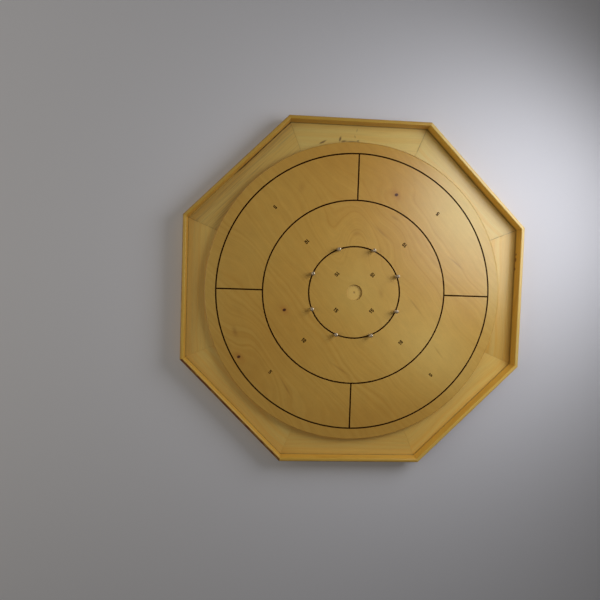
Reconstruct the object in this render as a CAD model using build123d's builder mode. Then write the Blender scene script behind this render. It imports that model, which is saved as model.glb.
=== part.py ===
"""Eight-sided disc-flicking board: a raised round deck, a ditch of mitred boards, rails and pegs.

The board lies flat on the XY plane with its playing face up. Millimetres, +Z up, origin at the
centre of the underside.
"""

from build123d import *
import os

os.makedirs("parts", exist_ok=True)

# Driving dimensions. The board is laid out in inches.
INCH = 25.4
SIDES = 8
SIDE_TURN = 360 / SIDES
HALF_TURN = SIDE_TURN / 2

# Ditch boards, the mitred ring that everything else is fixed to
board_thickness = 0.5 * INCH
board_outer_apothem = 369.1
board_inner_apothem = 280.0
board_mitre_ease = 0.4

# Rails
rail_thickness = 7.9
rail_height = 1.5 * INCH
rail_outer_round = 3.0
rail_inner_round = 1.8
rail_foot_chamfer = 0.6
rail_corner_round = 2.5
rail_mitre_gap = 0.16
rail_outer_apothem = board_outer_apothem + rail_thickness

# Playing deck
deck_radius = 13 * INCH
deck_thickness = 0.5 * INCH
deck_bottom = board_thickness
deck_top = deck_bottom + deck_thickness
deck_edge_round = 2.6
deck_foot_chamfer = 0.6

# Centre recess, which a disc drops into
recess_radius = 1.375 * INCH / 2
recess_depth = 4.4
recess_ease = 0.4
drill_mark_radius = 2.4
drill_mark_tip_radius = 0.2
drill_mark_depth = 1.6

# Printed lines and numerals lie in beds a little deeper than the ink
ring_radii = {"15": 4 * INCH, "10": 8 * INCH, "5": 12 * INCH}
line_width = 3.3
bed_depth = 0.4
ink_depth = 0.35
numeral_radii = {"15": 56.5, "10": 154.0, "5": 256.0}
numeral_height = 8.8
numeral_width = 5.0
numeral_stroke = 2.0
numeral_pitch = 4.7
flag_reach = 2.3
flag_drop = 1.6
flag_thickness = 2.0
bowl_radius = 2.9
bowl_opening = 1.5

# Pegs: a pan-head screw inside a sleeve, on the innermost ring
peg_count = 8
peg_first_angle = 22.5
sleeve_height = 14.5
sleeve_outer_radius = 4.1
sleeve_edge_round = 0.5
screw_shank_radius = 2.1
peg_thread_radius = 1.9
peg_thread_length = 10.0
peg_point_length = 2.5
peg_head_radius = 3.7
peg_head_height = 2.3
peg_head_rim = 0.8
socket_width = 2.8
socket_depth = 1.4
fit_clearance = 0.05

# Deck screws, up through the ditch boards
deck_screw_apothem = 304.0
deck_screw_offset = 62.0
deck_screw_head_radius = 4.1
deck_screw_head_height = 2.3
deck_screw_recess = 0.3
deck_screw_length = 19.0
deck_screw_thread_radius = 1.5
deck_screw_point = 2.0
deck_screw_hole_room = 1.0

# Biscuits in the mitres between ditch boards
biscuit_length = 47.0
biscuit_width = 15.0
biscuit_thickness = 3.8
biscuit_slot_room = 0.15

# Finishing nails through the rails
brad_radius = 0.9
brad_length = 25.0
brad_sink = 0.8
brad_offsets = (-105.0, 0.0, 105.0)


def finish(part, name):
    """Label a finished piece and write it out under its own name."""
    part.label = name
    export_step(part, f"parts/{name}.step")


def side_angle(number):
    """Direction that a side faces; side 1 faces +Y and the numbers run clockwise."""
    return 90 - SIDE_TURN * (number - 1)


def outward(angle):
    """Unit vector in the XY plane at an angle from +X."""
    return Vector(1, 0, 0).rotate(Axis.Z, angle)


def side_plane(angle, height=0.0):
    """Plane at a height whose x axis points out of a side and whose y axis runs along it."""
    return Plane(origin=(0, 0, height), x_dir=outward(angle), z_dir=(0, 0, 1))


def upward_hole_plane(point):
    """Plane at a point on an underside, from which a hole is drilled upwards."""
    return Plane(origin=point, x_dir=(1, 0, 0), z_dir=(0, 0, -1))


def mitre_plane(angle, gap=0.0):
    """Vertical plane through the board's axis at an angle, moved back by half a gap."""
    normal = outward(angle + 90)
    return Plane(origin=normal * (-gap / 2), z_dir=normal)


def deck_screw_points(angle, height=0.0):
    """The two screws of one side."""
    centre = outward(angle) * deck_screw_apothem
    along = outward(angle + 90) * deck_screw_offset
    return [centre + along + Vector(0, 0, height), centre - along + Vector(0, 0, height)]


def brad_planes(angle):
    """Planes on the outside of one rail, each facing into the board along a nail."""
    middle = outward(angle) * rail_outer_apothem + Vector(0, 0, board_thickness / 2)
    return [
        Plane(origin=middle + outward(angle + 90) * offset, z_dir=outward(angle))
        for offset in brad_offsets
    ]


def biscuit_outline(angle, room=0.0):
    """Lens-shaped sketch centred on the mitre at an angle, at half the board's thickness."""
    joint_inner = board_inner_apothem / cos_degrees(HALF_TURN)
    joint_outer = board_outer_apothem / cos_degrees(HALF_TURN)
    centre = outward(angle) * ((joint_inner + joint_outer) / 2)
    reach = biscuit_length / 2 + room
    bulge = biscuit_width / 2 + room
    height = Vector(0, 0, board_thickness / 2)
    plane = Plane(origin=centre + height, x_dir=outward(angle), z_dir=(0, 0, 1))
    with BuildSketch(plane) as outline:
        with BuildLine():
            ThreePointArc((-reach, 0), (0, bulge), (reach, 0))
            ThreePointArc((-reach, 0), (0, -bulge), (reach, 0))
        make_face()
    return outline.sketch


def cos_degrees(angle):
    """Cosine of an angle in degrees, as the x component of a turned unit vector."""
    return outward(angle).X


def ring_sketch(radius, height):
    """Annulus of one printed ring."""
    with BuildSketch(Plane.XY.offset(height)) as ring:
        Circle(radius + line_width / 2)
        Circle(radius - line_width / 2, mode=Mode.SUBTRACT)
    return ring.sketch


def quadrant_sketch(height):
    """Four radial strips that run between the middle and the outer ring."""
    inner = ring_radii["10"] + line_width / 2
    outer = ring_radii["5"] - line_width / 2
    with BuildSketch(Plane.XY.offset(height)) as strips:
        with PolarLocations((inner + outer) / 2, 4):
            Rectangle(outer - inner + line_width, line_width)
        Circle(outer, mode=Mode.INTERSECT)
        Circle(inner, mode=Mode.SUBTRACT)
    return strips.sketch


def draw_one():
    """The numeral 1: a stem with a flag."""
    top = numeral_height / 2
    Rectangle(numeral_stroke, numeral_height)
    with BuildLine() as flag:
        Polyline(
            (0, top),
            (-flag_reach, top - flag_drop),
            (-flag_reach, top - flag_drop - flag_thickness),
            (0, top - flag_thickness),
            close=True,
        )
    make_face(flag.edges())


def draw_nought():
    """The numeral 0: an upright slot with a slot cut out of it."""
    SlotOverall(numeral_height, numeral_width, rotation=90)
    inner_height = numeral_height - 2 * numeral_stroke
    inner_width = numeral_width - 2 * numeral_stroke
    SlotOverall(inner_height, inner_width, rotation=90, mode=Mode.SUBTRACT)


def draw_five():
    """The numeral 5: a bar, a short stem and a round bowl open on the left."""
    half_width = numeral_width / 2
    top = numeral_height / 2
    bowl_height = bowl_radius - top
    with Locations((0, bowl_height)):
        Circle(bowl_radius)
        Circle(bowl_radius - numeral_stroke, mode=Mode.SUBTRACT)
    with Locations((-half_width, bowl_height)):
        Rectangle(numeral_width, bowl_opening, mode=Mode.SUBTRACT)
    stem_bottom = bowl_height + bowl_opening / 2
    with Locations((-half_width + numeral_stroke / 2, (top + stem_bottom) / 2)):
        Rectangle(numeral_stroke, top - stem_bottom)
    with Locations((0, top - numeral_stroke / 2)):
        Rectangle(numeral_width, numeral_stroke)


DRAW_DIGIT = {"0": draw_nought, "1": draw_one, "5": draw_five}


def digit_sketch(digit, plane):
    """One numeral, upright on its plane."""
    with BuildSketch(plane) as drawn:
        DRAW_DIGIT[digit]()
    return drawn.sketch


def numeral_sketches(height):
    """Every digit of the scores on the four diagonals, with their tops towards the centre."""
    drawn = []
    for diagonal in (45, 135, 225, 315):
        for score, radius in numeral_radii.items():
            reading = outward(diagonal + 90) * -1
            for place, digit in enumerate(score):
                shift = (place - (len(score) - 1) / 2) * numeral_pitch
                point = outward(diagonal) * radius - reading * shift + Vector(0, 0, height)
                plane = Plane(origin=point, x_dir=reading * -1, z_dir=(0, 0, 1))
                drawn.append(digit_sketch(digit, plane))
    return drawn


def screw_profile(head_points, shank_radius, shank_end, thread_radius, thread_end, point_end):
    """Half section of a wood screw, closed along its axis, as a list of (radius, height)."""
    return head_points + [
        (shank_radius, shank_end),
        (thread_radius, shank_end),
        (thread_radius, thread_end),
        (0, point_end),
    ]


# Playing deck
deck_face = Plane.XY.offset(deck_top)
peg_ring = ring_radii["15"]

with BuildPart() as deck:
    with BuildSketch(Plane.XY.offset(deck_bottom)):
        Circle(deck_radius)
    extrude(amount=deck_thickness)
    fillet(deck.edges().sort_by(Axis.Z)[-1], deck_edge_round)
    chamfer(deck.edges().sort_by(Axis.Z)[0], deck_foot_chamfer)
    with Locations(deck_face):
        Hole(recess_radius, depth=recess_depth)
    chamfer(deck.edges(Select.LAST).sort_by(Axis.Z)[-1], recess_ease)
    with Locations((0, 0, deck_top - recess_depth - drill_mark_depth / 2)):
        Cone(
            drill_mark_tip_radius, drill_mark_radius, drill_mark_depth, mode=Mode.SUBTRACT
        )
    with Locations(deck_face):
        with PolarLocations(peg_ring, peg_count, peg_first_angle):
            Hole(
                peg_thread_radius + fit_clearance,
                depth=peg_thread_length + peg_point_length / 2,
            )
    for side in range(1, SIDES + 1):
        for point in deck_screw_points(side_angle(side), deck_bottom):
            with Locations(upward_hole_plane(point)):
                Hole(
                    deck_screw_thread_radius + fit_clearance,
                    depth=deck_screw_length - board_thickness + deck_screw_hole_room,
                )
    for radius in ring_radii.values():
        add(ring_sketch(radius, deck_top))
    add(quadrant_sketch(deck_top))
    for digit in numeral_sketches(deck_top):
        add(digit)
    extrude(amount=-bed_depth, mode=Mode.SUBTRACT)
finish(deck.part, "playing_deck")

# Printed rings; the pegs pass through the innermost one
ink_bottom = deck_top - bed_depth
for score, radius in ring_radii.items():
    with BuildPart() as ring_line:
        add(ring_sketch(radius, ink_bottom))
        extrude(amount=ink_depth)
        if radius == peg_ring:
            with Locations(deck_face):
                with PolarLocations(peg_ring, peg_count, peg_first_angle):
                    Hole(peg_thread_radius + fit_clearance, depth=deck_thickness)
    finish(ring_line.part, f"ring_line_{score}")

with BuildPart() as quadrant_lines:
    add(quadrant_sketch(ink_bottom))
    extrude(amount=ink_depth)
finish(quadrant_lines.part, "quadrant_lines")

with BuildPart() as score_numerals:
    for digit in numeral_sketches(ink_bottom):
        add(digit)
    extrude(amount=ink_depth)
finish(score_numerals.part, "score_numerals")

# Ditch boards
half_outer = board_outer_apothem * outward(HALF_TURN).Y / cos_degrees(HALF_TURN)
half_inner = board_inner_apothem * outward(HALF_TURN).Y / cos_degrees(HALF_TURN)

for side in range(1, SIDES + 1):
    angle = side_angle(side)
    with BuildPart() as ditch_board:
        with BuildSketch(side_plane(angle)):
            with BuildLine():
                Polyline(
                    (board_inner_apothem, -half_inner),
                    (board_outer_apothem, -half_outer),
                    (board_outer_apothem, half_outer),
                    (board_inner_apothem, half_inner),
                    close=True,
                )
            make_face()
        extrude(amount=board_thickness)
        top_edges = ditch_board.faces().sort_by(Axis.Z)[-1].edges()
        chamfer(top_edges.sort_by(SortBy.LENGTH)[:2], board_mitre_ease)
        for point in deck_screw_points(angle):
            with Locations(upward_hole_plane(point)):
                CounterSinkHole(
                    screw_shank_radius + fit_clearance,
                    deck_screw_head_radius + deck_screw_recess + fit_clearance,
                    depth=board_thickness,
                )
        for joint in (angle - HALF_TURN, angle + HALF_TURN):
            add(biscuit_outline(joint, biscuit_slot_room))
        extrude(
            amount=biscuit_thickness / 2 + biscuit_slot_room, both=True, mode=Mode.SUBTRACT
        )
        for plane in brad_planes(angle):
            with Locations(plane):
                Hole(brad_radius + fit_clearance, depth=brad_sink + brad_length)
    finish(ditch_board.part, f"ditch_board_{side}")

# Rails
rail_middle = board_outer_apothem + rail_thickness / 2

for side in range(1, SIDES + 1):
    angle = side_angle(side)
    section_plane = Plane(
        origin=(0, 0, 0), x_dir=outward(angle), z_dir=outward(angle).cross(Vector(0, 0, 1))
    )
    with BuildPart() as rail:
        with BuildSketch(section_plane) as section:
            with Locations((rail_middle, rail_height / 2)):
                Rectangle(rail_thickness, rail_height)
            fillet(section.vertices().group_by(Axis.Y)[-1].sort_by(Axis.X)[0], rail_inner_round)
            fillet(section.vertices().group_by(Axis.X)[-1].sort_by(Axis.Y)[-1], rail_outer_round)
            chamfer(section.vertices().group_by(Axis.Y)[0], rail_foot_chamfer)
        extrude(amount=half_outer + rail_thickness, both=True)
        split(bisect_by=mitre_plane(angle + HALF_TURN, rail_mitre_gap), keep=Keep.BOTTOM)
        split(bisect_by=mitre_plane(angle - HALF_TURN, -rail_mitre_gap), keep=Keep.TOP)
        with BuildSketch(Plane.XY) as outline:
            RegularPolygon(
                rail_outer_apothem, SIDES, major_radius=False, rotation=HALF_TURN
            )
            fillet(outline.vertices(), rail_corner_round)
        extrude(amount=rail_height, mode=Mode.INTERSECT)
        for plane in brad_planes(angle):
            with Locations(plane):
                Hole(brad_radius + fit_clearance, depth=brad_sink + brad_length)
    finish(rail.part, f"rail_{side}")

# Pegs
peg_head_bottom = deck_top + sleeve_height
peg_head_top = peg_head_bottom + peg_head_height
peg_thread_end = deck_top - peg_thread_length + peg_point_length

for number in range(1, peg_count + 1):
    peg_angle = peg_first_angle + (number - 1) * 360 / peg_count
    peg_foot = outward(peg_angle) * peg_ring
    half_section = Plane(origin=peg_foot, x_dir=(1, 0, 0), z_dir=(0, -1, 0))

    with BuildPart() as peg_screw:
        with BuildSketch(half_section):
            with BuildLine():
                TangentArc(
                    (0, peg_head_top),
                    (peg_head_radius, peg_head_bottom + peg_head_rim),
                    tangent=(1, 0),
                )
                Polyline(
                    (peg_head_radius, peg_head_bottom + peg_head_rim),
                    (peg_head_radius, peg_head_bottom),
                    *screw_profile(
                        [(screw_shank_radius, peg_head_bottom)],
                        screw_shank_radius,
                        deck_top,
                        peg_thread_radius,
                        peg_thread_end,
                        deck_top - peg_thread_length,
                    ),
                    (0, peg_head_top),
                )
            make_face()
        revolve(axis=Axis(peg_foot, (0, 0, 1)))
        with BuildSketch(Plane.XY.offset(peg_head_top)):
            with Locations(Location((peg_foot.X, peg_foot.Y), peg_angle)):
                Rectangle(socket_width, socket_width)
        extrude(amount=-socket_depth, mode=Mode.SUBTRACT)
    finish(peg_screw.part, f"peg_screw_{number}")

    with BuildPart() as peg_sleeve:
        with BuildSketch(Plane.XY.offset(deck_top)):
            with Locations((peg_foot.X, peg_foot.Y)):
                Circle(sleeve_outer_radius)
                Circle(screw_shank_radius + fit_clearance, mode=Mode.SUBTRACT)
        extrude(amount=sleeve_height)
        top_rim = peg_sleeve.faces().sort_by(Axis.Z)[-1].outer_wire().edges()
        fillet(top_rim, sleeve_edge_round)
    finish(peg_sleeve.part, f"peg_sleeve_{number}")

# Deck screws, driven upwards from the underside
screw_head_bottom = deck_screw_recess
screw_head_top = screw_head_bottom + deck_screw_head_height

with BuildPart() as deck_screws:
    for side in range(1, SIDES + 1):
        for point in deck_screw_points(side_angle(side)):
            with BuildSketch(Plane(origin=point, x_dir=(1, 0, 0), z_dir=(0, -1, 0))):
                with BuildLine():
                    Polyline(
                        (0, screw_head_bottom),
                        (deck_screw_head_radius, screw_head_bottom),
                        *screw_profile(
                            [(screw_shank_radius, screw_head_top)],
                            screw_shank_radius,
                            board_thickness,
                            deck_screw_thread_radius,
                            deck_screw_length - deck_screw_point,
                            deck_screw_length,
                        ),
                        close=True,
                    )
                make_face()
            revolve(axis=Axis(point, (0, 0, 1)))
            with BuildSketch(Plane.XY.offset(screw_head_bottom)):
                with Locations((point.X, point.Y)):
                    Rectangle(socket_width, socket_width)
            extrude(amount=socket_depth, mode=Mode.SUBTRACT)
finish(deck_screws.part, "deck_screws")

# Biscuits
with BuildPart() as mitre_biscuits:
    for side in range(1, SIDES + 1):
        add(biscuit_outline(side_angle(side) + HALF_TURN))
    extrude(amount=biscuit_thickness / 2, both=True)
finish(mitre_biscuits.part, "mitre_biscuits")

# Finishing nails
with BuildPart() as rail_brads:
    for side in range(1, SIDES + 1):
        for plane in brad_planes(side_angle(side)):
            with BuildSketch(plane.offset(-brad_sink)):
                Circle(brad_radius)
            extrude(amount=-brad_length)
finish(rail_brads.part, "rail_brads")
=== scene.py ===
"""Looks for an eight-sided disc-flicking board: varnished wood, printed lines and sleeved pegs.

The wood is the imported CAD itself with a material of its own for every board. Only the pegs are
remade here. Patterns are worked out in millimetres, everything else in metres.
"""

import math

import bmesh
import bpy
from mathutils import Matrix, Vector


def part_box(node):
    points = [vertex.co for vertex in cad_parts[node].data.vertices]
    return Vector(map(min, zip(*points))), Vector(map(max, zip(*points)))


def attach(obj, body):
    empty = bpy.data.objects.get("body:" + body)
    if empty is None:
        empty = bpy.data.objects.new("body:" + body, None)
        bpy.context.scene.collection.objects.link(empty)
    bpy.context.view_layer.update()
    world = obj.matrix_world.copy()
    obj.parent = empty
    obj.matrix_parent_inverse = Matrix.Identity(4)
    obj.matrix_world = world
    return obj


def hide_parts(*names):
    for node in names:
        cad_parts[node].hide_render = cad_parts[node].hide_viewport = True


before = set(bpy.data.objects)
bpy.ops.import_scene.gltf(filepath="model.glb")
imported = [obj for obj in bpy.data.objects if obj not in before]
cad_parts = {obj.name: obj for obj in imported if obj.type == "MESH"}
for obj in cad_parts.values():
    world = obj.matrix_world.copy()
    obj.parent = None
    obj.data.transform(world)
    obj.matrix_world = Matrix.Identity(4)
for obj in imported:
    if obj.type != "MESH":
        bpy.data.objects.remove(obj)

MM = 0.001
SIDES = 8
SIDE_TURN = math.tau / SIDES

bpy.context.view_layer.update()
deck_low, deck_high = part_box("playing_deck")
rail_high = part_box("rail_3")[1]
board_low, board_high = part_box("ditch_board_3")
deck_top = deck_high.z / MM
deck_bottom = deck_low.z / MM
board_outer = board_high.x / MM
board_inner = board_low.x / MM
board_top = board_high.z / MM
rail_outer = rail_high.x / MM
rail_top = rail_high.z / MM


# ---------------------------------------------------------------- node graphs written as formulas


class Term:
    """A number that varies over a surface, so that a material's formulas read as arithmetic."""

    def __init__(self, graph, socket):
        self.graph = graph
        self.socket = socket

    def __add__(self, other):
        return self.graph.calc("ADD", self, other)

    def __sub__(self, other):
        return self.graph.calc("SUBTRACT", self, other)

    def __mul__(self, other):
        return self.graph.calc("MULTIPLY", self, other)

    def __truediv__(self, other):
        return self.graph.calc("DIVIDE", self, other)

    def __rsub__(self, other):
        return self.graph.calc("SUBTRACT", other, self)

    __radd__ = __add__
    __rmul__ = __mul__

    def absolute(self):
        return self.graph.calc("ABSOLUTE", self)

    def step(self, low, high):
        """0 below low, 1 above high and smooth between; low may be the larger of the two."""
        return self.graph.step(self, low, high)


class Graph:
    """One material: a Principled shader, and the place on the surface in millimetres.

    The place is turned so that x points out of the given side, y runs along it and z is up.
    """

    def __init__(self, name, side_angle=0.0):
        self.material = bpy.data.materials.new(name)
        self.material.use_nodes = True
        self.tree = self.material.node_tree
        self.tree.nodes.clear()
        self.shader = self.tree.nodes.new("ShaderNodeBsdfPrincipled")
        output = self.tree.nodes.new("ShaderNodeOutputMaterial")
        self.tree.links.new(self.shader.outputs["BSDF"], output.inputs["Surface"])
        here = self.tree.nodes.new("ShaderNodeTexCoord").outputs["Object"]
        turned = self.node("ShaderNodeMapping", Vector=here)
        turned.inputs["Rotation"].default_value = (0, 0, -side_angle)
        turned.inputs["Scale"].default_value = (1 / MM,) * 3
        split = self.node("ShaderNodeSeparateXYZ", Vector=turned.outputs["Vector"])
        self.x = Term(self, split.outputs["X"])
        self.y = Term(self, split.outputs["Y"])
        self.z = Term(self, split.outputs["Z"])

    def node(self, kind, settings=None, **inputs):
        """A new node with its settings made and its inputs set or linked."""
        made = self.tree.nodes.new(kind)
        for key, value in (settings or {}).items():
            setattr(made, key, value)
        for key, value in inputs.items():
            self.feed(made.inputs[key], value)
        return made

    def feed(self, socket, value):
        """Link a term or a socket to an input, or set the input to a plain value."""
        if isinstance(value, Term):
            self.tree.links.new(value.socket, socket)
        elif isinstance(value, bpy.types.NodeSocket):
            self.tree.links.new(value, socket)
        else:
            socket.default_value = value

    def calc(self, operation, *values):
        made = self.node("ShaderNodeMath", {"operation": operation})
        for socket, value in zip(made.inputs, values):
            self.feed(socket, value)
        return Term(self, made.outputs[0])

    def step(self, value, low, high):
        made = self.node("ShaderNodeMapRange", {"interpolation_type": "SMOOTHSTEP"}, Value=value)
        made.inputs["From Min"].default_value = low
        made.inputs["From Max"].default_value = high
        return Term(self, made.outputs["Result"])

    def vector(self, x, y, z=0.0):
        return self.node("ShaderNodeCombineXYZ", X=x, Y=y, Z=z).outputs[0]

    def noise(self, x, y=0.0, z=0.0, detail=2.0, rough=0.5, seed=0.0):
        """Noise from -1 to 1, about one blob per unit of x, y and z."""
        made = self.node(
            "ShaderNodeTexNoise",
            {"noise_dimensions": "4D"},
            Vector=self.vector(x, y, z),
            W=seed,
            Scale=1.0,
            Detail=detail,
            Roughness=rough,
        )
        return Term(self, made.outputs["Fac"]) * 2.0 - 1.0

    def bands(self, rings, seed=0.0, detail=2.0):
        """Uneven growth bands from -1 to 1, about one for each whole number of rings."""
        made = self.node(
            "ShaderNodeTexNoise",
            {"noise_dimensions": "1D"},
            W=rings + seed,
            Scale=1.0,
            Detail=detail,
            Roughness=0.55,
        )
        return Term(self, made.outputs["Fac"]) * 2.0 - 1.0

    def hill(self, first, second):
        """1 where both terms are 0, falling smoothly to 0 where either is about 2."""
        return self.calc("EXPONENT", (first * first + second * second) * -1.0)

    def spot(self, x, y, radius_x, radius_y, turn=0.0):
        """1 at a point of the x, y plane, falling smoothly to 0 about two radii away."""
        c, s = math.cos(turn), math.sin(turn)
        along = ((self.x - x) * c + (self.y - y) * s) / radius_x
        across = ((self.y - y) * c - (self.x - x) * s) / radius_y
        return self.hill(along, across)

    def total(self, spots):
        """Sum of several spots, each given as its arguments and then its strength."""
        added = None
        for *where, strength in spots:
            one = self.spot(*where) * strength
            added = one if added is None else added + one
        return added

    def tint(self, factor, first, second):
        """Colour that goes from first to second as factor goes from 0 to 1."""
        # A Mix node's inputs 0, 6 and 7 are the factor and two colours, and output 2 their mix
        made = self.node("ShaderNodeMix", {"data_type": "RGBA", "clamp_factor": True})
        self.feed(made.inputs[0], factor)
        self.feed(made.inputs[6], first)
        self.feed(made.inputs[7], second)
        return made.outputs[2]

    def shade(self, colour, amount):
        """Colour times a number."""
        made = self.node("ShaderNodeVectorMath", {"operation": "SCALE"}, Scale=amount)
        self.feed(made.inputs[0], colour[:3] if isinstance(colour, tuple) else colour)
        return made.outputs[0]

    def surface(self, **inputs):
        """Set or link the shader's inputs, named with underscores for spaces."""
        for key, value in inputs.items():
            self.feed(self.shader.inputs[key.replace("_", " ")], value)

    def bump(self, height, depth):
        """Raise the surface by height, in millimetres, times depth."""
        made = self.node("ShaderNodeBump", Height=height, Strength=1.0, Distance=depth * MM)
        self.feed(self.shader.inputs["Normal"], made.outputs["Normal"])


def rgb(red, green, blue):
    return (red, green, blue, 1.0)


# Colours are linear red, green and blue
BIRCH_LIGHT = rgb(0.705, 0.420, 0.080)
BIRCH_DARK = rgb(0.572, 0.300, 0.044)
BIRCH_GOLDEN = rgb(0.755, 0.495, 0.125)
BIRCH_PALE = rgb(0.690, 0.490, 0.122)
BIRCH_DEEP = rgb(0.560, 0.278, 0.036)
MINERAL_STREAK = rgb(0.32, 0.130, 0.018)
KNOT_HALO = rgb(0.46, 0.17, 0.025)
KNOT_CORE = rgb(0.080, 0.016, 0.002)
PLY_LIGHT = rgb(0.64, 0.39, 0.10)
PLY_DARK = rgb(0.47, 0.25, 0.055)
GLUE = rgb(0.20, 0.09, 0.03)
RECESS_FLOOR = rgb(0.76, 0.50, 0.130)
# Cut end grain with painted shade for the recess wall
WALL_GRAIN_AND_SHADE = rgb(0.22, 0.10, 0.025)
DRILL_MARK = rgb(0.13, 0.05, 0.012)
BACK_LIGHT = rgb(0.68, 0.42, 0.11)
BACK_DARK = rgb(0.56, 0.31, 0.06)
DUSTY_WOOD = rgb(0.62, 0.46, 0.26)
DITCH_PALE = rgb(0.80, 0.580, 0.165)
DITCH_DEEP = rgb(0.67, 0.375, 0.058)
DITCH_STREAK = rgb(0.33, 0.22, 0.085)
JOINT_STAIN = rgb(0.30, 0.18, 0.06)
MITRE_DIRT = rgb(0.09, 0.04, 0.012)
# Dirt with painted shade for the seam between ditch board and rail
DIRT_AND_SHADE_IN_SEAM = rgb(0.06, 0.022, 0.006)
BARK = rgb(0.12, 0.050, 0.016)
RAIL_AMBER = rgb(0.82, 0.500, 0.078)
RAIL_BROWN = rgb(0.59, 0.300, 0.030)
RAIL_HANDLED = rgb(0.50, 0.310, 0.042)
# Pale wear with painted sheen for the tops of rails
PALE_WEAR_AND_SHEEN = rgb(0.80, 0.590, 0.190)
# Painted shade for the rails' outer edges
RAIL_SHADE_COLOUR = rgb(0.16, 0.038, 0.003)
# Dirt with painted shade for the rails' feet
DIRT_AND_SHADE_AT_FOOT = rgb(0.19, 0.075, 0.010)
RAIL_KNOT = rgb(0.20, 0.040, 0.008)
BEECH = rgb(0.50, 0.30, 0.14)
INK_THICK = rgb(0.026, 0.007, 0.001)
INK_THIN = rgb(0.050, 0.014, 0.002)
INK_SPECK = rgb(0.10, 0.040, 0.010)
MILK_DARK = rgb(0.84, 0.73, 0.56)
MILK_PALE = rgb(0.91, 0.81, 0.65)
YELLOW_ZINC = rgb(0.62, 0.50, 0.26)
BRIGHT_WIRE = rgb(0.52, 0.51, 0.50)
PEG_STEEL = rgb(0.56, 0.45, 0.31)
FLOOR_GREY = rgb(0.77, 0.76, 0.79)


# ---------------------------------------------------------------- wood


GRAIN_ANGLE = math.radians(132)
# Spacing of the growth bands on the deck's face, its back, the ditch and the rails; millimetres
DECK_BAND = 8.0
BACK_BAND = 7.0
DITCH_BAND = 4.6
RAIL_BAND = 4.2
# The deck's plies, and its centre recess with the drill's mark; millimetres
FACE_VENEER = 1.6
PLY = 1.35
RECESS_RADIUS = 17.46
DRILL_MARK_RADIUS = 2.4
# Cathedral arches of the rotary-cut face: place, half sizes along and across, turn, rings
ARCHES = (
    (12, 120, 95, 34, math.radians(96), 8.0),
    (-55, 130, 80, 30, math.radians(100), -2.5),
    (78, 122, 46, 34, math.radians(120), 5.5),
    (-215, -125, 80, 40, math.radians(118), 6.0),
    (-60, -250, 150, 40, math.radians(150), 2.5),
    (240, -60, 90, 28, math.radians(122), -3.0),
    (-250, 60, 70, 40, math.radians(95), 2.5),
    (60, 250, 90, 24, math.radians(170), 4.0),
)
# Areas where the figure is lively; it is faint elsewhere
LIVELY_AREAS = (
    (20, 150, 100, 60, 0.0, 0.65),
    (190, 30, 90, 150, 0.0, 0.20),
    (-215, -120, 60, 60, 0.0, 0.45),
    (150, -190, 110, 80, 0.0, 0.25),
)
# Pin knots of the deck's face: place and radius
PIN_KNOTS = (((86, 219), 4.1), ((-154, -43), 3.9), ((-251, -149), 3.8))
# Mineral streaks and smudges: place, half sizes along and across, turn, strength
STREAKS = (
    (-261, -93, 10, 4.5, math.radians(110), 0.8),
    (226, 74, 21, 1.8, math.radians(143), 0.6),
    (139, -26, 22, 2.0, math.radians(130), 0.6),
    (196, -128, 16, 1.8, math.radians(128), 0.5),
    (-146, -214, 22, 2.0, math.radians(122), 0.7),
    (57, 134, 20, 2.6, math.radians(140), 0.6),
    (0, 133, 6, 9.0, math.radians(95), 0.35),
    (60, 0, 5, 11.0, math.radians(10), 0.4),
    (-124, 226, 12, 7.0, math.radians(70), 0.35),
    (84, 168, 9, 2.4, math.radians(150), 0.6),
    (-25, -172, 24, 2.2, math.radians(147), 0.6),
)
# Large areas where the face is golden, where it is paler and where it is a deeper brown; the golden
# and paler areas are partly tone and partly painted light, with painted sheen of the key lamp in the
# paler areas at the upper right
GOLDEN_AND_LIT_AREAS = (
    (135, -105, 105, 80, math.radians(-40), 0.75),
    (215, -140, 110, 70, math.radians(-55), 0.70),
)
PALE_AND_LIT_AREAS = (
    (240, 170, 120, 65, math.radians(-50), 0.95),
    (225, 235, 90, 30, math.radians(-45), 0.50),
    (320, 0, 26, 80, 0.0, 0.60),
    (0, 0, 70, 70, 0.0, 0.45),
    (-235, 90, 60, 50, 0.0, 0.25),
    (-318, 0, 26, 90, 0.0, 0.35),
)
DEEP_AREAS = (
    (0, 297, 190, 58, 0.0, 1.05),
    (0, 185, 100, 50, 0.0, 0.60),
    (95, 225, 60, 40, 0.0, 0.50),
    (115, 120, 55, 55, 0.0, 0.50),
    (150, 15, 45, 45, 0.0, 0.25),
    (-150, 25, 60, 80, 0.0, 0.25),
    (-180, -120, 120, 80, math.radians(40), 0.65),
    (60, -285, 190, 50, 0.0, 0.75),
    (-255, 110, 50, 80, 0.0, 0.30),
)


def varnish(g, roughness=0.36, coat=0.3):
    """Clear satin varnish over wood."""
    g.surface(IOR=1.5, Coat_Weight=coat, Coat_Roughness=0.28, Coat_IOR=1.5)
    smears = g.noise(g.x / 60, g.y / 60, detail=3.0, seed=4.0)
    g.surface(Roughness=roughness + smears * 0.05)


def deck_rings(g, along, across):
    """Growth rings counted across the rotary-cut face, bent round arches and knots."""
    rings = across / DECK_BAND
    rings += g.noise(across / 120, along / 240, detail=1.0, seed=1.0) * 4.5
    rings += g.noise(across / 32, along / 60, detail=1.5, seed=2.0) * 1.0
    rings += g.total(ARCHES)
    for (x, y), radius in PIN_KNOTS:
        rings += g.spot(x, y, radius * 5, radius * 3, GRAIN_ANGLE) * 1.5
    return rings


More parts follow.
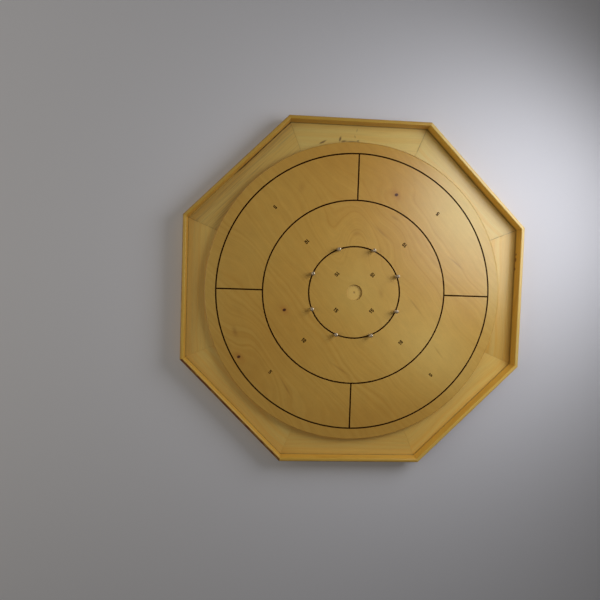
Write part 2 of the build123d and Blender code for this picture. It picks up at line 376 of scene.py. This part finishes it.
def deck_face(g, along, across, fibres, pores):
    """Colour of the varnished birch face."""
    figure = g.bands(deck_rings(g, along, across)) * (g.total(LIVELY_AREAS) + 0.45) * 2.6
    clouds = g.noise(across / 16, along / 38, detail=2.5, rough=0.6, seed=6.0)
    patchy = g.noise(g.x / 90, g.y / 90, detail=2.0, seed=9.0)

    toned = figure * 0.5 + fibres * 0.4 + 0.5
    wood = g.tint(toned, BIRCH_LIGHT, BIRCH_DARK)
    # Golden and paler areas: partly the face's tone, partly painted light and painted sheen
    wood = g.tint(g.total(GOLDEN_AND_LIT_AREAS) * 0.7, wood, BIRCH_GOLDEN)
    wood = g.tint(g.total(PALE_AND_LIT_AREAS) * 0.7, wood, BIRCH_PALE)
    wood = g.tint(g.total(DEEP_AREAS) * 0.7 + patchy * 0.2, wood, BIRCH_DEEP)
    wood = g.shade(wood, 1.02 + figure * 0.02 + fibres * 0.10 - pores * 0.15 + clouds * 0.11)

    ragged = fibres * 0.5 + 1.0
    wood = g.tint(g.total(STREAKS) * ragged * 0.62, wood, MINERAL_STREAK)
    for (x, y), radius in PIN_KNOTS:
        halo = g.spot(x, y, radius * 2.8, radius * 1.7, GRAIN_ANGLE)
        core = g.spot(x, y, radius, radius * 0.8, 0.4).step(0.2, 0.55)
        wood = g.tint(halo * 0.6, wood, KNOT_HALO)
        wood = g.tint(core * 0.95, wood, KNOT_CORE)
    return wood


def deck_plies(g, depth):
    """Colour of the cut plies on the deck's edge, light and dark in turn with glue between."""
    layer = (depth - FACE_VENEER) / PLY
    dark_ply = g.calc("PINGPONG", layer, 1.0).step(0.42, 0.58)
    grain = g.noise(g.x / 3, g.y / 3, g.z / 0.25, detail=2.0, seed=8.0)
    plies = g.tint(dark_ply, PLY_LIGHT, PLY_DARK)
    plies = g.shade(plies, 1.0 + grain * 0.18)
    glue = (g.calc("FRACT", layer) - 0.5).absolute().step(0.42, 0.49)
    return g.tint(glue * depth.step(2.0, 3.0) * 0.55, plies, GLUE)


def recess_floor(g, along, across, face):
    """Colour of the recess floor, where the cutter left faint rings and the grain is turned."""
    grain = g.noise(across / 30, along / 1.4, detail=3.0, rough=0.6, seed=11.0)
    reach = g.calc("SQRT", g.x * g.x + g.y * g.y)
    swirls = g.noise(reach / 0.8, detail=2.0, seed=12.0)
    return g.shade(g.tint(0.6, face, RECESS_FLOOR), 1.10 + grain * 0.12 + swirls * 0.09)


def raw_wood(g, colour, grain):
    """Unvarnished, slightly dusty wood of an underside."""
    return g.shade(g.tint(0.6, colour, DUSTY_WOOD), 0.95 + grain * 0.10)


def deck_plywood():
    """Birch plywood: figured face, cut plies, the floor of the recess and a bare underside."""
    g = Graph("deck_plywood")
    c, s = math.cos(GRAIN_ANGLE), math.sin(GRAIN_ANGLE)
    along = g.x * c + g.y * s
    across = g.y * c - g.x * s
    fibres = g.noise(across / 1.5, along / 20, detail=2.5, rough=0.6, seed=3.0)
    pores = g.noise(across / 0.38, along / 5.0, detail=1.5, seed=5.0).step(0.12, 0.5)
    depth = deck_top - g.z

    face = deck_face(g, along, across, fibres, pores)
    wood = g.tint(depth.step(FACE_VENEER - 0.1, FACE_VENEER + 0.1), face, deck_plies(g, depth))
    reach = g.calc("SQRT", g.x * g.x + g.y * g.y)
    on_floor = reach.step(RECESS_RADIUS - 0.02, RECESS_RADIUS - 0.2) * depth.step(2.0, 2.5)
    wood = g.tint(on_floor, wood, recess_floor(g, along, across, face))
    # Painted shade with cut end grain: the recess wall and the edge of the floor beside it are
    # darkened
    wall_and_corner_shade = reach.step(RECESS_RADIUS + 0.35, RECESS_RADIUS + 0.1) * depth.step(0.25, 0.5)
    wall_and_corner_shade = wall_and_corner_shade * reach.step(RECESS_RADIUS - 0.3, RECESS_RADIUS - 0.1)
    wood = g.tint(wall_and_corner_shade * 0.55, wood, WALL_GRAIN_AND_SHADE)
    mark = reach.step(DRILL_MARK_RADIUS + 0.2, DRILL_MARK_RADIUS - 0.1) * depth.step(2.0, 2.5)
    wood = g.tint(mark * 0.4, wood, DRILL_MARK)
    bare = g.z.step(deck_bottom + 0.05, deck_bottom + 0.01)
    plain_rings = across / BACK_BAND + g.noise(across / 40, along / 130, detail=1.5, seed=14.0) * 2.5
    back = g.tint(g.bands(plain_rings) + 0.5, BACK_LIGHT, BACK_DARK)
    wood = g.tint(bare, wood, raw_wood(g, back, fibres))
    g.surface(Base_Color=wood)

    varnish(g)
    waves = g.noise(g.x / 14, g.y / 14, detail=2.0, seed=7.0)
    g.bump(fibres * 0.5 - pores + waves * 1.5, 0.018)
    return g.material


HALF_CORNER = SIDE_TURN / 2
# Tone of each ditch board at its two ends, from pale yellow at -1 to orange brown at 1
BOARD_TONES = (
    (-0.45, -0.55),
    (-0.55, -0.45),
    (0.05, 0.9),
    (0.1, 0.3),
    (0.25, 0.35),
    (0.1, 0.0),
    (0.0, 0.05),
    (0.05, -0.1),
)
# How bright each ditch board is beside the others, partly its own tone and partly painted light
BOARD_TONE_AND_LIGHT = (0.95, 0.92, 1.0, 1.10, 1.04, 1.08, 1.07, 0.96)
# How strong the grey-brown streaks of the grain are
BOARD_STREAKS = (0.08, 0.0, 0.0, 0.0, 0.04, 0.05, 0.10, 0.40)
# How dark the mitre line at the clockwise end of each board is
MITRE_GRIME = (0.6, 0.6, 0.15, 0.12, 0.1, 0.1, 0.4, 0.25)
# How dark the gap between each board and its rail is, from dirt and painted shade in the crease, and
# the half that it keeps to, if any
RAIL_SEAM_DARK = ((0.45, 0), (0.6, 0), (0.25, 0), (0.4, 0), (0.35, 0), (0.35, 0), (0.5, 0), (1.25, -1))
# Bark marks of board 1: distance out, distance along, half sizes out and along, turn, strength
BARK_MARKS = (
    (330, 80, 2.2, 9.0, 0.5, 0.8),
    (338, 42, 6.0, 2.4, -0.3, 0.8),
    (334, 34, 2.2, 6.5, 0.1, 0.85),
    (334, 16, 1.7, 14.0, 0.0, 0.6),
    (336, 2, 2.2, 3.5, 0.4, 0.6),
    (345, 9, 3.5, 1.3, 0.3, 0.4),
    (359, 5, 4.0, 1.2, -0.2, 0.4),
)
# Knots of rail 3, which show on both its faces: distance along, height, half sizes
RAIL_KNOTS = ((86, 18.5, 4.5, 3.4), (65, 17.0, 3.4, 2.8), (98, 19.0, 2.6, 2.6))
# How brown each rail is; below 0 it is more amber
RAIL_TONES = (0.40, -0.25, -0.15, -0.25, -0.1, -0.1, 0.05, 0.25)
# How brown hands have made the top of each rail
HANDLED = (0.6, 0.15, 0.2, 0.1, 0.35, 0.55, 0.35, 0.6)
# How pale the top of each rail is, from wear and from painted sheen where the key lamp's reflection
# falls
TOP_WEAR_AND_SHEEN = (0.0, 0.6, 0.5, 0.2, 0.0, 0.0, 0.0, 0.0)
# About how high the dirt and painted shade reach up the inner face of each rail, in millimetres
RAIL_FOOT_REACH = (3.0, 6.5, 5.0, 3.0, 2.5, 2.5, 2.5, 4.0)
# How dark the painted shade on the outer edge of each rail is, and how far in from it the dark
# reaches
OUTER_EDGE_SHADE = (
    (0.15, 2.0), (0.0, 2.0), (0.0, 2.0), (0.1, 2.0), (0.6, 2.6), (1.0, 5.2), (0.5, 2.6), (0.35, 2.5)
)
# How bright each rail is beside the others, partly its own tone and partly painted light
RAIL_TONE_AND_LIGHT = (1.0, 1.08, 1.06, 1.12, 1.12, 1.14, 1.16, 1.07)


def side_angle(number):
    return math.pi / 2 - SIDE_TURN * (number - 1)


def solid_wood(g, spacing, pith, seed):
    """Growth bands of a sawn board whose length is along y, from the distance to a bent pith."""
    bend = g.noise(g.y / 160, seed=seed, detail=1.0) * 14
    sway = g.noise(g.x / 70, g.y / 220, g.z / 40, detail=1.5, seed=seed + 1.0) * 9
    across = g.x - pith[0] + bend + g.y * pith[2]
    deep = g.z - pith[1] + sway
    reach = g.calc("SQRT", across * across + deep * deep)
    return g.bands(reach / spacing, seed=seed * 7.0)


def joint_dirt_and_shade(g, number, seed):
    """How dark a ditch board is along its two mitres from dirt, and along its rail from dirt and
    painted shade, from 0 to 1.
    """
    inward = g.x * math.sin(HALF_CORNER) - g.y.absolute() * math.cos(HALF_CORNER)
    ragged = g.noise(g.x / 9, g.y / 9, seed=seed + 5.0, detail=3.0, rough=0.65)
    clockwise_end = g.y.step(20, -20)
    here, before = MITRE_GRIME[number - 1], MITRE_GRIME[number - 2]
    strength = clockwise_end * (here - before) + before
    mitre = inward.step(1.1, 0.3) * (ragged * 2.2 + 0.5) * strength
    stain = inward.step(9.0, 1.0) * (ragged + 0.35) * strength * 0.28
    # The seam along the rail is dirt with painted shade, where the rail shades the board's outer
    # edge
    amount, half = RAIL_SEAM_DARK[number - 1]
    width = g.x.step(board_outer - 1.2 - amount * 1.5, board_outer - 0.5)
    seam = width * (ragged * 0.4 + 0.75) * amount
    if half:
        seam = seam * (g.y * half).step(-25, 5)
    return mitre, stain, seam


def ditch_wood(number):
    """Pale varnished softwood; the grain runs along the side."""
    g = Graph(f"ditch_wood_{number}", side_angle(number))
    seed = number * 3.7
    first_tone, last_tone = BOARD_TONES[number - 1]
    pith = (300 + 14 * math.sin(number * 2.1), -40 - 15 * (number % 3), 0.02 * math.sin(number))
    bands = solid_wood(g, DITCH_BAND, pith, seed)
    fibres = g.noise(g.x / 1.2, g.y / 40, g.z / 1.2, detail=3.0, rough=0.65, seed=seed)
    lines = g.noise(g.x / 0.4, g.y / 16, g.z / 0.4, detail=1.0, seed=seed + 6.0).step(0.1, 0.5)
    patchy = g.noise(g.x / 30, g.y / 90, detail=2.5, seed=seed + 2.0)
    tone = g.y.step(40, -120) * (last_tone - first_tone) + first_tone

    wood = g.tint(bands * 0.50 + patchy * 0.22 + tone * 0.45 + 0.40, DITCH_PALE, DITCH_DEEP)
    # Each board's brightness factor is partly its tone and partly painted light
    level = BOARD_TONE_AND_LIGHT[number - 1]
    shading = 1.015 + bands * 0.08 + fibres * 0.12 + patchy * 0.05 - lines * 0.10
    wood = g.shade(wood, shading * level)
    streaks = g.noise(g.x / 2.2, g.y / 110, detail=2.0, rough=0.6, seed=seed + 4.0).step(-0.05, 0.35)
    streaks = streaks * BOARD_STREAKS[number - 1]
    wood = g.tint(streaks, wood, DITCH_STREAK)
    bare = g.calc("MAXIMUM", g.z.step(0.6, 0.3), g.x.step(board_inner + 0.5, board_inner + 0.2))
    plain = g.tint(bands * 0.8 + 0.4, DITCH_PALE, DITCH_DEEP)
    wood = g.tint(bare, wood, raw_wood(g, plain, fibres + bands))

    mitre, stain, seam = joint_dirt_and_shade(g, number, seed)
    wood = g.tint(stain, wood, JOINT_STAIN)
    wood = g.tint(mitre, wood, MITRE_DIRT)
    wood = g.tint(seam, wood, DIRT_AND_SHADE_IN_SEAM)
    if number == 1:
        for *where, strength in BARK_MARKS:
            mark = g.spot(*where) * (fibres * 1.2 + 0.9)
            wood = g.tint(mark.step(0.1, 0.8) * strength, wood, BARK)
    g.surface(Base_Color=wood)
    varnish(g, roughness=0.38)
    waves = g.noise(g.x / 10, g.y / 30, detail=2.0, seed=seed + 3.0)
    g.bump(fibres * 0.4 + bands * 0.5 + waves, 0.02)
    return g.material


def rail_wood(number):
    """Amber varnished softwood strip, darkened by hands on top, with painted shade on its outer edge
    and at its foot, and paler on some tops from wear and painted sheen.
    """
    g = Graph(f"rail_wood_{number}", side_angle(number))
    seed = number * 5.3
    tone = RAIL_TONES[number - 1]
    pith = (330 - 9 * (number % 4), 8 + 10 * (number % 3), 0.015 * math.cos(number))
    bands = solid_wood(g, RAIL_BAND, pith, seed)
    fibres = g.noise(g.x / 0.9, g.y / 45, g.z / 0.9, detail=3.0, rough=0.65, seed=seed)
    lines = g.noise(g.x / 0.35, g.y / 14, g.z / 0.35, detail=1.0, seed=seed + 6.0).step(0.1, 0.5)
    ragged = g.noise(g.y / 30, g.z / 20, detail=3.0, seed=seed)

    wood = g.tint(bands * 0.7 + 0.35 + tone, RAIL_AMBER, RAIL_BROWN)
    shading = 1.015 + bands * 0.09 + fibres * 0.12 - lines * 0.10
    # Each rail's brightness factor is partly its tone and partly painted light
    wood = g.shade(wood, shading * RAIL_TONE_AND_LIGHT[number - 1])
    top = g.z.step(rail_top - 1.2, rail_top - 0.2)
    wood = g.tint(top * (ragged * 0.5 + 0.7) * HANDLED[number - 1], wood, RAIL_HANDLED)
    # Pale wear with painted sheen on the tops of the rails nearest the key lamp
    wood = g.tint(top * (ragged * 0.5 + 0.9) * TOP_WEAR_AND_SHEEN[number - 1], wood, PALE_WEAR_AND_SHEEN)
    # Painted shade: the outer edge is darkened where its rounding faces away from the key lamp
    strength, reach = OUTER_EDGE_SHADE[number - 1]
    edge = g.x.step(rail_outer - reach - 0.7, rail_outer - reach + 0.7)
    patches = g.noise(g.x / 3, g.y / 11, g.z / 3, detail=3.5, rough=0.6, seed=seed + 8.0)
    edge = edge * g.z.step(rail_top - 7, rail_top - 2.5) * (patches * 1.1 + 0.95) * strength
    wood = g.tint(edge, wood, RAIL_SHADE_COLOUR)
    # Dirt with painted shade: darker at the foot of the inner face, in the crease over the ditch
    # board, and towards the bottom of the outer face, where it meets the floor
    outer_foot = g.z.step(9.0, 0.0) * g.x.step(rail_outer - 1.5, rail_outer - 0.1)
    foot_height = board_top + RAIL_FOOT_REACH[number - 1] * 1.4
    foot = g.x.step(board_outer + 0.6, board_outer + 0.1) * g.z.step(foot_height, board_top + 0.5)
    wood = g.tint(foot * (ragged * 0.4 + 0.7) + outer_foot * 0.3, wood, DIRT_AND_SHADE_AT_FOOT)
    if number == 3:
        for y, z, half_along, half_up in RAIL_KNOTS:
            knot = g.hill((g.y - y) / half_along, (g.z - z) / half_up) * (ragged * 0.8 + 1.0)
            wood = g.tint(knot.step(0.05, 0.8) * 0.85, wood, RAIL_KNOT)
    wood = g.tint(g.z.step(0.6, 0.3), wood, raw_wood(g, wood, fibres))
    g.surface(Base_Color=wood)
    varnish(g, roughness=0.36, coat=0.35)
    waves = g.noise(g.x / 9, g.y / 25, g.z / 9, detail=2.0, seed=seed + 3.0)
    g.bump(fibres * 0.4 + bands * 0.4 + waves, 0.02)
    return g.material


def biscuit_wood():
    """Pressed beech, unfinished, with short dark flecks."""
    g = Graph("biscuit_wood")
    flecks = g.noise(g.x / 0.8, g.y / 2.5, g.z / 0.8, detail=2.0).step(0.2, 0.5)
    grain = g.noise(g.x / 4, g.y / 12, g.z / 2, detail=3.0, seed=2.0)
    wood = g.shade(BEECH, 1.0 + grain * 0.2 - flecks * 0.35)
    g.surface(Base_Color=wood, Roughness=0.75 + grain * 0.08)
    g.bump(grain - flecks, 0.05)
    return g.material


# ---------------------------------------------------------------- ink, metal and plastic


def printed_ink():
    """Dark brown-black screen ink, a little thin in places, under the varnish."""
    g = Graph("printed_ink")
    thin = g.noise(g.x / 7, g.y / 7, detail=4.0, rough=0.65).step(0.1, 0.75)
    specks = g.noise(g.x / 0.5, g.y / 0.5, detail=1.0, seed=3.0).step(0.45, 0.7)
    ink = g.tint(thin * 0.5, INK_THICK, INK_THIN)
    g.surface(Base_Color=g.tint(specks * 0.3, ink, INK_SPECK))
    g.surface(Roughness=0.6 + thin * 0.1, IOR=1.08)
    g.bump(thin + specks, 0.015)
    return g.material


def plated_steel(name, colour, roughness=0.27):
    """Zinc-plated steel with fine turning marks and dull patches."""
    g = Graph(name)
    dull = g.noise(g.x / 1.6, g.y / 1.6, g.z / 1.6, detail=3.0)
    marks = g.noise(0.0, 0.0, g.z / 0.07, detail=2.0, seed=2.0)
    g.surface(Base_Color=g.shade(colour, 1.0 + dull * 0.12), Metallic=1.0)
    g.surface(Roughness=dull * 0.09 + roughness)
    g.bump(marks * 0.5 + dull * 0.5, 0.01)
    return g.material


def sleeve_plastic():
    """Milky translucent tube with faint extrusion lines."""
    g = Graph("sleeve_plastic")
    cloudy = g.noise(g.x / 1.5, g.y / 1.5, g.z / 3, detail=2.0)
    lines = g.noise(g.x / 0.25, g.y / 0.25, detail=1.0, seed=2.0)
    milk = g.tint(cloudy * 0.5 + 0.5, MILK_DARK, MILK_PALE)
    g.surface(Base_Color=milk, Roughness=0.22 + cloudy * 0.05, IOR=1.4, Transmission_Weight=0.7)
    g.bump(lines * 0.6 + cloudy, 0.01)
    return g.material


# ---------------------------------------------------------------- pegs


TURNED_SEGMENTS = 48


def grid_mesh(name, rings, close_start, close_end, loop=False):
    """Mesh from equal rings of points, optionally closed by fans at the ends or into a loop."""
    mesh = bmesh.new()
    rows = [[mesh.verts.new(point) for point in ring] for ring in rings]
    pairs = list(zip(rows, rows[1:]))
    if loop:
        pairs.append((rows[-1], rows[0]))
    for low, high in pairs:
        for i in range(len(low)):
            j = (i + 1) % len(low)
            mesh.faces.new((low[i], low[j], high[j], high[i]))
    for row, wanted, flip in ((rows[0], close_start, True), (rows[-1], close_end, False)):
        if not wanted:
            continue
        centre = mesh.verts.new(sum((v.co for v in row), Vector()) / len(row))
        for i in range(len(row)):
            j = (i + 1) % len(row)
            ends = (row[j], row[i]) if flip else (row[i], row[j])
            mesh.faces.new((*ends, centre))
    bmesh.ops.recalc_face_normals(mesh, faces=mesh.faces)
    data = bpy.data.meshes.new(name)
    mesh.to_mesh(data)
    mesh.free()
    piece = bpy.data.objects.new(name, data)
    bpy.context.scene.collection.objects.link(piece)
    return piece


def turned_ring(radius, height):
    """Points of a ring whose radius is a number or a function of the angle; in millimetres."""
    points = []
    for i in range(TURNED_SEGMENTS):
        angle = math.tau * i / TURNED_SEGMENTS
        reach = radius(angle) if callable(radius) else radius
        rise = height(angle) if callable(height) else height
        points.append(Vector((reach * math.cos(angle), reach * math.sin(angle), rise)) * MM)
    return points


def square_reach(half_width, corner=0.25):
    """Radius of a square with slightly rounded corners, as a function of the angle."""

    def reach(angle):
        c, s = abs(math.cos(angle)), abs(math.sin(angle))
        sharp = half_width / max(c, s)
        return min(sharp, (half_width - corner) * math.sqrt(2) + corner)

    return reach


def smooth_by_angle(piece, degrees=35):
    """Smooth shading that keeps sharp edges sharp."""
    piece.data.polygons.foreach_set("use_smooth", [True] * len(piece.data.polygons))
    mesh = bmesh.new()
    mesh.from_mesh(piece.data)
    for edge in mesh.edges:
        if len(edge.link_faces) == 2:
            edge.smooth = edge.calc_face_angle() < math.radians(degrees)
    mesh.to_mesh(piece.data)
    mesh.free()


# Sizes of a peg screw in millimetres
SHANK_RADIUS = 2.1
SHANK_SHOULDER = 0.25
THREAD_CREST = 1.9
THREAD_ROOT = 1.35
THREAD_PITCH = 1.3
POINT_LENGTH = 2.5
HEAD_RIM = 0.8
RIM_ROUND = 0.15
RIM_EDGE = 0.1
SOCKET_HALF = 1.4
SOCKET_DEPTH = 1.4
SOCKET_BEVEL = 0.12
SOCKET_DISH = 0.15
# Rings for each turn of the thread, and how much more each next socket is turned, in radians
THREAD_STEPS = 6
SOCKET_TURN = 0.9
# Blunt end of the point and places on the dome, as shares of the root and head radius
POINT_SHARE = 0.15
DOME_SHARES = (0.985, 0.94, 0.87, 0.78, 0.68, 0.6)


def thread_rings(foot, surface):
    """Rings of a helical thread that runs out smoothly at both ends, from the foot up."""

    def crest(height):
        ease = min(1.0, (surface - height) / THREAD_PITCH, (height - foot) / POINT_LENGTH)
        core = THREAD_ROOT * min(1.0, POINT_SHARE + (height - foot) / POINT_LENGTH)

        def radius(angle):
            phase = (height / THREAD_PITCH - angle / math.tau) % 1.0
            ridge = max(0.0, 1.0 - abs(phase - 0.5) * 4.0)
            return core + (THREAD_CREST - THREAD_ROOT) * ridge * max(0.0, ease)

        return radius

    rings = []
    steps = round((surface - foot) / THREAD_PITCH * THREAD_STEPS)
    for i in range(steps + 1):
        height = foot + (surface - foot) * i / steps
        rings.append(turned_ring(crest(height), height))
    return rings


def head_rings(head_radius, seat, top):
    """Rings of a domed head with a square socket, from its seat to the socket's floor."""
    dome_rise = top - seat - HEAD_RIM
    dome_radius = (head_radius**2 + dome_rise**2) / (2 * dome_rise)

    def dome(radius):
        return top - dome_radius + math.sqrt(dome_radius**2 - radius**2)

    rings = []
    for reach, height in ((head_radius - RIM_ROUND, seat), (head_radius, seat + RIM_ROUND)):
        rings.append(turned_ring(reach, height))
    rings.append(turned_ring(head_radius, seat + HEAD_RIM - RIM_EDGE))
    for share in DOME_SHARES:
        rings.append(turned_ring(head_radius * share, dome(head_radius * share)))
    lip = square_reach(SOCKET_HALF + SOCKET_BEVEL)
    wall = square_reach(SOCKET_HALF)
    rings.append(turned_ring(lip, lambda angle: dome(lip(angle))))
    rings.append(turned_ring(wall, lambda angle: dome(lip(angle)) - SOCKET_BEVEL))
    rings.append(turned_ring(wall, top - SOCKET_DEPTH))
    rings.append(turned_ring(square_reach(SOCKET_HALF / 2), top - SOCKET_DEPTH - SOCKET_DISH))
    return rings


def peg_screw(number, material):
    """Pan-head screw with a square socket and a real thread, in place of the plain CAD one."""
    low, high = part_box(f"peg_screw_{number}")
    sleeve_low, sleeve_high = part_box(f"peg_sleeve_{number}")
    centre = (low + high) / 2
    head_radius = (high.x - low.x) / 2 / MM
    top, foot = high.z / MM, low.z / MM
    seat, surface = sleeve_high.z / MM, sleeve_low.z / MM

    rings = thread_rings(foot, surface)
    rings.append(turned_ring(SHANK_RADIUS, surface + SHANK_SHOULDER))
    rings.append(turned_ring(SHANK_RADIUS, seat))
    rings += head_rings(head_radius, seat, top)
    piece = grid_mesh(f"peg_screw_detailed_{number}", rings, close_start=True, close_end=True)
    smooth_by_angle(piece)
    turn = math.atan2(centre.y, centre.x) + SOCKET_TURN * number
    piece.data.transform(Matrix.Translation((centre.x, centre.y, 0)) @ Matrix.Rotation(turn, 4, "Z"))
    piece.data.materials.append(material)
    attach(piece, "root")
    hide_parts(f"peg_screw_{number}")


# Slack of a sleeve on its screw in millimetres, and the height of its bottom lip's centre over
# the deck as a share of the lip's radius
SLEEVE_SLACK = 0.05
FOOT_SHARE = 0.6
LIP_STEPS = 5
# Share of a sleeve's height, and how far its wall gives there in millimetres
SLEEVE_WAIST = ((0.12, 0.0), (0.3, -0.12), (0.5, -0.16), (0.7, -0.12), (0.9, -0.04))


def peg_sleeve(number, material):
    """Soft tube with a round top lip, a foot pressed flat on the deck and a slight waist."""
    low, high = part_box(f"peg_sleeve_{number}")
    centre = (low + high) / 2
    outer = (high.x - low.x) / 2 / MM
    inner = SHANK_RADIUS + SLEEVE_SLACK
    bottom, top = low.z / MM, high.z / MM
    lip = (outer - inner) / 2

    def lip_arc(centre_height, first, last):
        arc = []
        for i in range(LIP_STEPS + 1):
            angle = first + (last - first) * i / LIP_STEPS
            radius = (inner + outer) / 2 + lip * math.cos(angle)
            arc.append((radius, centre_height + lip * math.sin(angle)))
        return arc

    profile = lip_arc(bottom + lip * FOOT_SHARE, -math.pi, 0)
    for share, give in SLEEVE_WAIST:
        profile.append((outer + give, bottom + (top - bottom) * share))
    profile += lip_arc(top - lip, 0, math.pi)
    profile = [(radius, max(bottom, height)) for radius, height in profile]
    rings = [turned_ring(radius, height) for radius, height in profile]
    piece = grid_mesh(
        f"peg_sleeve_detailed_{number}", rings, close_start=False, close_end=False, loop=True
    )
    smooth_by_angle(piece, 50)
    piece.data.transform(Matrix.Translation((centre.x, centre.y, 0)))
    piece.data.materials.append(material)
    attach(piece, "root")
    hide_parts(f"peg_sleeve_{number}")


# ---------------------------------------------------------------- dressing the CAD


def paint(node, material):
    """Give a CAD node's object its material."""
    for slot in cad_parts[node].material_slots:
        slot.material = material


def dress_board():
    paint("playing_deck", deck_plywood())
    for number in range(1, SIDES + 1):
        paint(f"ditch_board_{number}", ditch_wood(number))
        paint(f"rail_{number}", rail_wood(number))
    ink = printed_ink()
    for node in ("ring_line_15", "ring_line_10", "ring_line_5", "quadrant_lines", "score_numerals"):
        paint(node, ink)
    yellow_zinc = plated_steel("yellow_zinc", YELLOW_ZINC)
    paint("deck_screws", yellow_zinc)
    paint("rail_brads", plated_steel("bright_wire", BRIGHT_WIRE))
    paint("mitre_biscuits", biscuit_wood())


def make_pegs():
    steel = plated_steel("peg_steel", PEG_STEEL, roughness=0.45)
    plastic = sleeve_plastic()
    for number in range(1, SIDES + 1):
        peg_screw(number, steel)
        peg_sleeve(number, plastic)


# ---------------------------------------------------------------- floor, light and camera


# Half the floor's width in metres
FLOOR_HALF = 6.0
# The photograph's camera: its place from the middle of the deck's face in metres, its own right
# and down, and its lens and sensor width in millimetres
CAMERA_PLACE = Vector((-0.1824, 0.0200, 1.0028))
CAMERA_RIGHT = Vector((0.99763, 0.03245, 0.06066))
CAMERA_DOWN = Vector((0.02994, -0.99868, 0.04177))
CAMERA_LENS = 27.36
SENSOR_WIDTH = 36.0
LAMP_AIM = Vector((0.1, 0.03, 0.03))
# Place, diameter, power, spread and colour of each lamp: a soft key and two weak fills
LAMPS = {
    "key_light": (Vector((0.567, 0.276, 0.518)), 0.6, 1.86, math.radians(120), (0.98, 1.0, 1.06)),
    "left_fill": (Vector((-1.6, 0.0, 1.2)), 1.5, 4.8, math.pi, (1.04, 0.97, 0.80)),
    "top_left_fill": (Vector((-0.9, 1.1, 1.0)), 1.2, 1.5, math.pi, (1.0, 1.0, 1.0)),
}
SURROUND_STRENGTH = 0.112
SURROUND_COLOUR = rgb(0.99, 0.99, 1.0)


def pale_floor():
    g = Graph("pale_floor")
    mottle = g.noise(g.x / 900, g.y / 900, detail=2.0)
    g.surface(Base_Color=g.shade(FLOOR_GREY, 1.0 + mottle * 0.03), Roughness=0.8)
    corners = [(-FLOOR_HALF, -FLOOR_HALF), (FLOOR_HALF, -FLOOR_HALF)]
    corners += [(-x, -y) for x, y in corners]
    data = bpy.data.meshes.new("floor")
    data.from_pydata([(x, y, 0) for x, y in corners], [], [(0, 1, 2, 3)])
    data.materials.append(g.material)
    floor = bpy.data.objects.new("floor", data)
    bpy.context.scene.collection.objects.link(floor)


def round_lamp(name, place, size, power, spread, colour):
    """A round soft lamp aimed near the middle of the board."""
    light = bpy.data.lights.new(name, "AREA")
    light.shape = "DISK"
    light.size = size
    light.energy = power
    light.spread = spread
    light.color = colour
    lamp = bpy.data.objects.new(name, light)
    lamp.location = place
    lamp.rotation_mode = "QUATERNION"
    lamp.rotation_quaternion = (LAMP_AIM - place).to_track_quat("-Z", "Y")
    bpy.context.scene.collection.objects.link(lamp)


def soft_surround():
    world = bpy.data.worlds.new("studio")
    world.use_nodes = True
    background = world.node_tree.nodes["Background"]
    background.inputs["Color"].default_value = SURROUND_COLOUR
    background.inputs["Strength"].default_value = SURROUND_STRENGTH
    bpy.context.scene.world = world


def place_camera():
    """Camera over the face, left of the middle, as the board was photographed."""
    forward = CAMERA_RIGHT.cross(CAMERA_DOWN).normalized()
    up = -CAMERA_DOWN.normalized()
    right = up.cross(-forward).normalized()
    camera = bpy.data.objects.new("camera", bpy.data.cameras.new("camera"))
    camera.data.lens = CAMERA_LENS
    camera.data.sensor_width = SENSOR_WIDTH
    axes = Matrix((right, up, -forward)).transposed().to_4x4()
    camera.matrix_world = Matrix.Translation(CAMERA_PLACE + Vector((0, 0, deck_top * MM))) @ axes
    bpy.context.scene.collection.objects.link(camera)
    bpy.context.scene.camera = camera


dress_board()
make_pegs()
pale_floor()
for lamp_name, lamp_settings in LAMPS.items():
    round_lamp(lamp_name, *lamp_settings)
soft_surround()
place_camera()
bpy.context.scene.view_settings.view_transform = "Standard"
